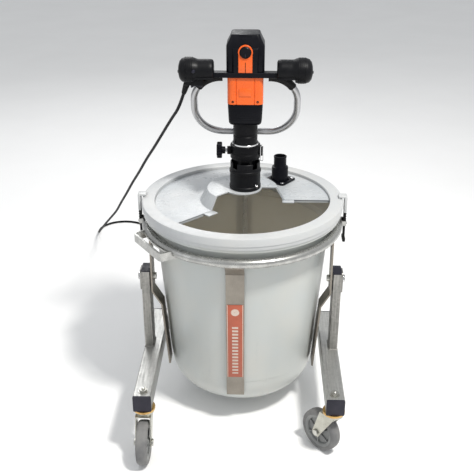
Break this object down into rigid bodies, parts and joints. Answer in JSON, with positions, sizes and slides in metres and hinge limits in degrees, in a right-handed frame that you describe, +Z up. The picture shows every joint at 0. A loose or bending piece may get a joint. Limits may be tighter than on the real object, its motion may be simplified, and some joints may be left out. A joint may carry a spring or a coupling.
{
  "type": "mortar mixing station",
  "caption": "Wheeled frame with a tilting hoop cradle, round bucket and half-open lid, and a two-handled paddle mixer clamped upright over it.",
  "frame": {"origin": "on the floor under the bucket's vertical axis", "axes": "+Z up; the open side of the frame and the pouring side face -Y; +X is the operator's right seen from the front"},
  "size_m": [0.9879, 1.6708, 1.12],
  "materials": {
    "galvanised_steel": "galvanised, dull",
    "strap_steel": "mill finish, worn",
    "zinc_steel": "zinc plated, faintly yellow",
    "raceway_steel": "yellow passivated",
    "black_cap": "fine texture",
    "grey_tyre": "grey rubber",
    "hub_plastic": "moulded grey",
    "white_poly": "translucent white polyethylene",
    "lid_poly": "translucent white polyethylene",
    "black_rubber": "soft black rubber",
    "black_plastic": "fine spark texture",
    "port_plastic": "moulded black",
    "orange_plastic": "glossy orange",
    "black_metal": "black coated",
    "grey_metal": "dark grey coated casting",
    "aluminium": "brushed tube",
    "stainless": "stainless bar",
    "gear_steel": "hardened steel",
    "copper_iron": "laminations and copper",
    "carbon": "carbon",
    "cord_rubber": "satin black jacket"
  },
  "bodies": {
    "frame": {"side_rails": "galvanised_steel", "rear_side_bars": "galvanised_steel", "rear_cross_bar": "galvanised_steel", "tube_caps": "black_cap", "uprights": "galvanised_steel", "stem_nuts": "zinc_steel", "caster_raceways": "raceway_steel", "pivot_bolts": "zinc_steel", "rest_pad": "black_rubber", "cord_lead": "cord_rubber", "cord_coil": "cord_rubber", "cord_plug": "cord_rubber"},
    "cradle": {"hoop": "galvanised_steel", "front_strap": "strap_steel", "rear_strap": "strap_steel", "side_straps": "strap_steel", "tilt_handle": "galvanised_steel", "bucket": "white_poly", "lid_rim": "lid_poly", "lid_cover": "lid_poly", "port_flange_plate": "port_plastic", "port_spigot": "port_plastic", "port_screws": "zinc_steel", "collar_cup": "grey_metal", "clamp_collar": "black_metal", "gearbox_neck": "grey_metal", "gear_case": "black_plastic", "motor_case": "orange_plastic", "head_cap": "black_plastic", "cross_bar": "black_plastic", "left_grip": "black_plastic", "right_grip": "black_plastic", "loop_handle": "aluminium", "loop_sleeves": "black_rubber", "motor_stator": "copper_iron", "ball_bearings": "gear_steel", "carbon_brushes": "carbon", "cord_guard": "cord_rubber"},
    "right_latch": {"right_latch": "black_rubber"},
    "left_latch": {"left_latch": "black_rubber"},
    "star_knob": {"star_knob": "black_plastic"},
    "speed_dial": {"speed_dial": "black_plastic"},
    "trigger": {"trigger": "black_plastic"},
    "lock_button": {"lock_button": "black_plastic"},
    "spindle": {"output_spindle": "gear_steel", "mixing_paddle": "stainless"},
    "idler": {"idler_gear": "gear_steel"},
    "armature": {"motor_armature": "copper_iron"},
    "caster_front_left": {"front_left_fork": "zinc_steel"},
    "wheel_front_left": {"front_left_tyre": "grey_tyre", "front_left_hub": "hub_plastic"},
    "caster_front_right": {"front_right_fork": "zinc_steel"},
    "wheel_front_right": {"front_right_tyre": "grey_tyre", "front_right_hub": "hub_plastic"},
    "caster_rear_left": {"rear_left_fork": "zinc_steel"},
    "wheel_rear_left": {"rear_left_tyre": "grey_tyre", "rear_left_hub": "hub_plastic"},
    "caster_rear_right": {"rear_right_fork": "zinc_steel"},
    "wheel_rear_right": {"rear_right_tyre": "grey_tyre", "rear_right_hub": "hub_plastic"}
  },
  "joints": [
    {"name": "cradle_tilt", "type": "hinge", "parent": "frame", "child": "cradle", "pos_m": [0, -0.092, 0.435], "axis": [1, 0, 0], "range_deg": [0, 100]},
    {"name": "right_latch_turn", "type": "hinge", "parent": "cradle", "child": "right_latch", "pos_m": [0.299, 0, 0.575], "axis": [0, 1, 0], "range_deg": [0, 110]},
    {"name": "left_latch_turn", "type": "hinge", "parent": "cradle", "child": "left_latch", "pos_m": [-0.299, 0, 0.575], "axis": [0, -1, 0], "range_deg": [0, 110]},
    {"name": "star_knob_turn", "type": "hinge", "parent": "cradle", "child": "star_knob", "pos_m": [-0.052, 0, 0.791], "axis": [-1, 0, 0], "range_deg": [-720, 0]},
    {"name": "speed_dial_turn", "type": "hinge", "parent": "cradle", "child": "speed_dial", "pos_m": [0.008, -0.05, 1.076], "axis": [0, -1, 0], "range_deg": [-270, 0]},
    {"name": "trigger_pull", "type": "slide", "parent": "cradle", "child": "trigger", "axis": [0, 0, 1], "range_m": [0, 0.006], "stiffness_N_per_m": 400, "springref_m": -0.001},
    {"name": "lock_button_push", "type": "slide", "parent": "cradle", "child": "lock_button", "axis": [0, 1, 0], "range_m": [0, 0.003], "stiffness_N_per_m": 300, "springref_m": -0.001},
    {"name": "spindle_spin", "type": "hinge", "parent": "cradle", "child": "spindle", "pos_m": [0.008, 0, 0.7], "axis": [0, 0, 1], "continuous": true},
    {"name": "idler_spin", "type": "hinge", "parent": "cradle", "child": "idler", "pos_m": [0.008, 0.021, 0.9], "axis": [0, 0, 1], "continuous": true},
    {"name": "armature_spin", "type": "hinge", "parent": "cradle", "child": "armature", "pos_m": [0.008, 0, 0.95], "axis": [0, 0, 1], "continuous": true},
    {"name": "front_left_swivel", "type": "hinge", "parent": "frame", "child": "caster_front_left", "pos_m": [-0.264, -0.34, 0.1479], "axis": [0, 0, 1], "continuous": true},
    {"name": "front_left_roll", "type": "hinge", "parent": "caster_front_left", "child": "wheel_front_left", "pos_m": [-0.264, -0.382, 0.0625], "axis": [1, 0, 0], "continuous": true},
    {"name": "front_right_swivel", "type": "hinge", "parent": "frame", "child": "caster_front_right", "pos_m": [0.264, -0.34, 0.1479], "axis": [0, 0, 1], "continuous": true},
    {"name": "front_right_roll", "type": "hinge", "parent": "caster_front_right", "child": "wheel_front_right", "pos_m": [0.23536, -0.30928, 0.0625], "axis": [-0.7314, -0.682, 0], "continuous": true},
    {"name": "rear_left_swivel", "type": "hinge", "parent": "frame", "child": "caster_rear_left", "pos_m": [-0.15, 0.3347, 0.1479], "axis": [0, 0, 1], "continuous": true},
    {"name": "rear_left_roll", "type": "hinge", "parent": "caster_rear_left", "child": "wheel_rear_left", "pos_m": [-0.15, 0.3767, 0.0625], "axis": [-1, 0, 0], "continuous": true},
    {"name": "rear_right_swivel", "type": "hinge", "parent": "frame", "child": "caster_rear_right", "pos_m": [0.15, 0.3347, 0.1479], "axis": [0, 0, 1], "continuous": true},
    {"name": "rear_right_roll", "type": "hinge", "parent": "caster_rear_right", "child": "wheel_rear_right", "pos_m": [0.15, 0.3767, 0.0625], "axis": [-1, 0, 0], "continuous": true}
  ],
  "couplings": [
    {"joint": "idler_spin", "follows": "spindle_spin", "ratio": -1.3333},
    {"joint": "armature_spin", "follows": "spindle_spin", "ratio": 4.2667}
  ]
}
